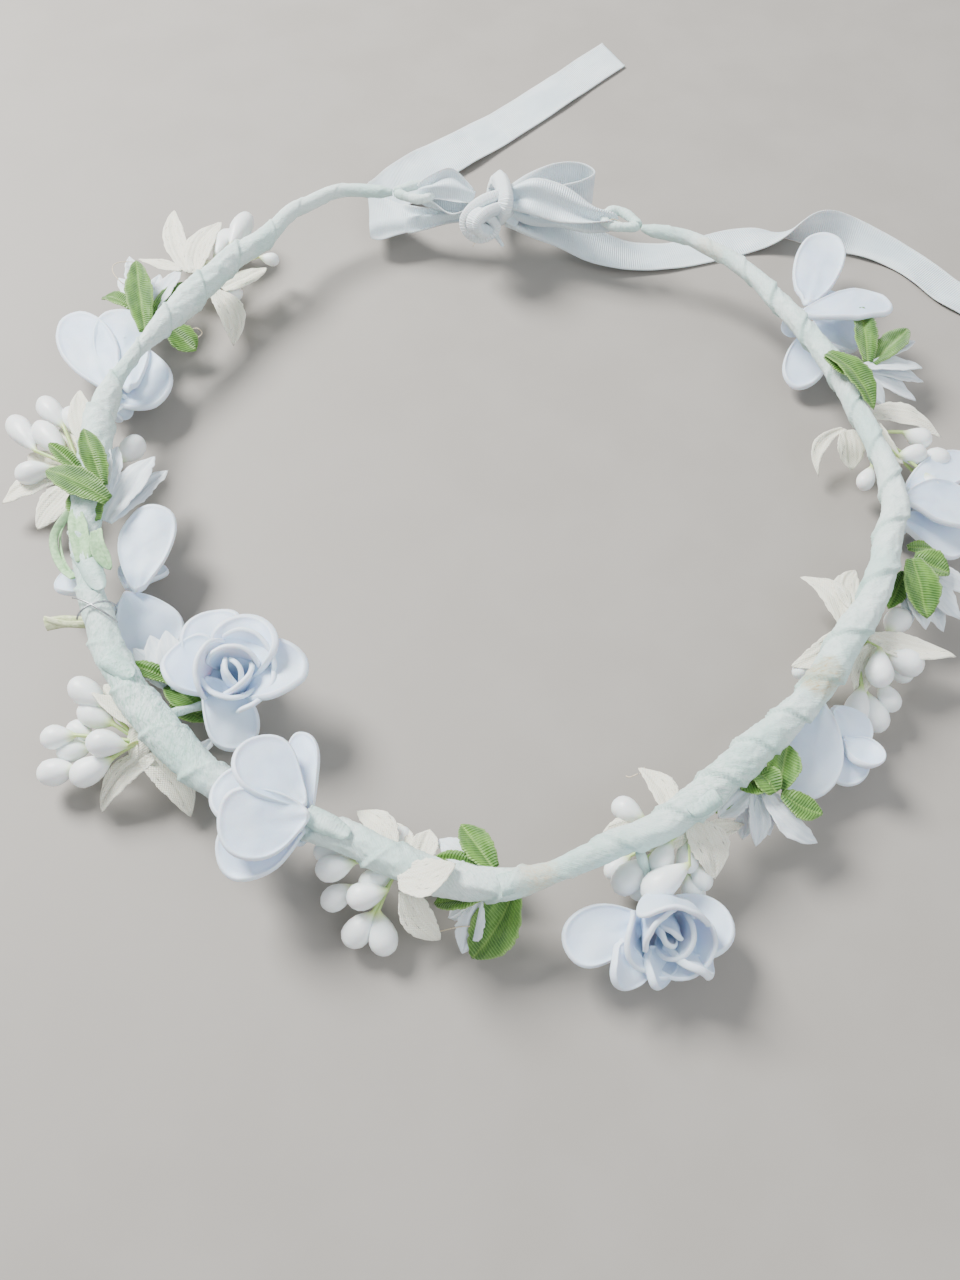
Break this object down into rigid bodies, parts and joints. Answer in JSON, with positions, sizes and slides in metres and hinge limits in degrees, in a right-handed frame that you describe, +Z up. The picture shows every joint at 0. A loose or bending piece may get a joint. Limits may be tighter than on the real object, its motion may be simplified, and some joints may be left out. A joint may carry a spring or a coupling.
{
  "type": "flower crown",
  "caption": "Taped wire hoop with foam roses, linen stars holding buds and leafed blossoms, tied at the back with a satin ribbon whose two tails swing.",
  "frame": {"origin": "middle of the head opening, in the plane of the table that the crown lies on", "axes": "+Z up from the table, through the head opening; -Y towards the front of the crown, +Y towards the ribbon at the back; +X to the right seen from the front and above"},
  "size_m": [0.2646, 0.3015, 0.036],
  "materials": {
    "wire": "plain steel wire",
    "tape": "waxed crepe paper tape, pale mint, wrinkled",
    "satin": "white satin ribbon with woven edges",
    "foam": "smooth closed-cell foam, cool white",
    "linen": "open linen weave, cream",
    "cotton": "stiffened fine cotton, white",
    "bud": "smooth dipped bud, pearl white with green foot",
    "leaf": "ribbed green satin"
  },
  "bodies": {
    "hoop": {"core_wire": "wire", "hoop_tape": "tape", "eyelet_left": "tape", "eyelet_right": "tape", "binding_wire": "wire", "rose_1_petals": "foam", "rose_1_heart": "foam", "rose_2_petals": "foam", "rose_2_heart": "foam", "rose_4_petals": "foam", "rose_4_heart": "foam", "rose_6_petals": "foam", "rose_6_heart": "foam", "rose_7_petals": "foam", "rose_7_heart": "foam", "rose_8_petals": "foam", "rose_8_heart": "foam", "star_1_petals": "linen", "star_1_buds": "bud", "star_2_petals": "linen", "star_2_buds": "bud", "star_3_petals": "linen", "star_3_buds": "bud", "star_4_petals": "linen", "star_4_buds": "bud", "star_5_petals": "linen", "star_5_buds": "bud", "star_6_petals": "linen", "star_6_buds": "bud", "star_7_petals": "linen", "star_7_buds": "bud", "blossom_1_calyx": "leaf", "blossom_1_petals": "cotton", "blossom_2_calyx": "leaf", "blossom_2_petals": "cotton", "blossom_3_calyx": "leaf", "blossom_3_petals": "cotton", "blossom_4_calyx": "leaf", "blossom_4_petals": "cotton", "blossom_5_calyx": "leaf", "blossom_5_petals": "cotton", "blossom_6_calyx": "leaf", "blossom_6_petals": "cotton", "blossom_7_calyx": "leaf", "blossom_7_petals": "cotton", "ribbon_knot": "satin", "ribbon_left_loop": "satin", "ribbon_right_loop": "satin", "ribbon_bow_loop": "satin", "ribbon_tail_left_root": "satin", "ribbon_tail_right_root": "satin"},
    "inner_rose": {"rose_3_stem": "tape", "rose_3_petals": "foam", "rose_3_heart": "foam"},
    "front_rose": {"rose_5_stem": "tape", "rose_5_petals": "foam", "rose_5_heart": "foam"},
    "left_tail": {"ribbon_tail_left": "satin"},
    "right_tail": {"ribbon_tail_right": "satin"}
  },
  "joints": [
    {"name": "inner_rose_bend", "type": "hinge", "parent": "hoop", "child": "inner_rose", "pos_m": [-0.06237, -0.05994, 0.0139], "axis": [0.6612, -0.7502, 0], "range_deg": [-6, 20]},
    {"name": "front_rose_bend", "type": "hinge", "parent": "hoop", "child": "front_rose", "pos_m": [0.02852, -0.08986, 0.014], "axis": [-0.9341, -0.3569, 0], "range_deg": [0, 30]},
    {"name": "left_tail_swing", "type": "hinge", "parent": "hoop", "child": "left_tail", "pos_m": [-0.01985, 0.1117, 0.002], "axis": [0.7615, -0.6482, 0], "range_deg": [0, 90]},
    {"name": "right_tail_swing", "type": "hinge", "parent": "hoop", "child": "right_tail", "pos_m": [0.06625, 0.0877, 0.0002], "axis": [0.3714, -0.9285, 0], "range_deg": [0, 90]}
  ]
}
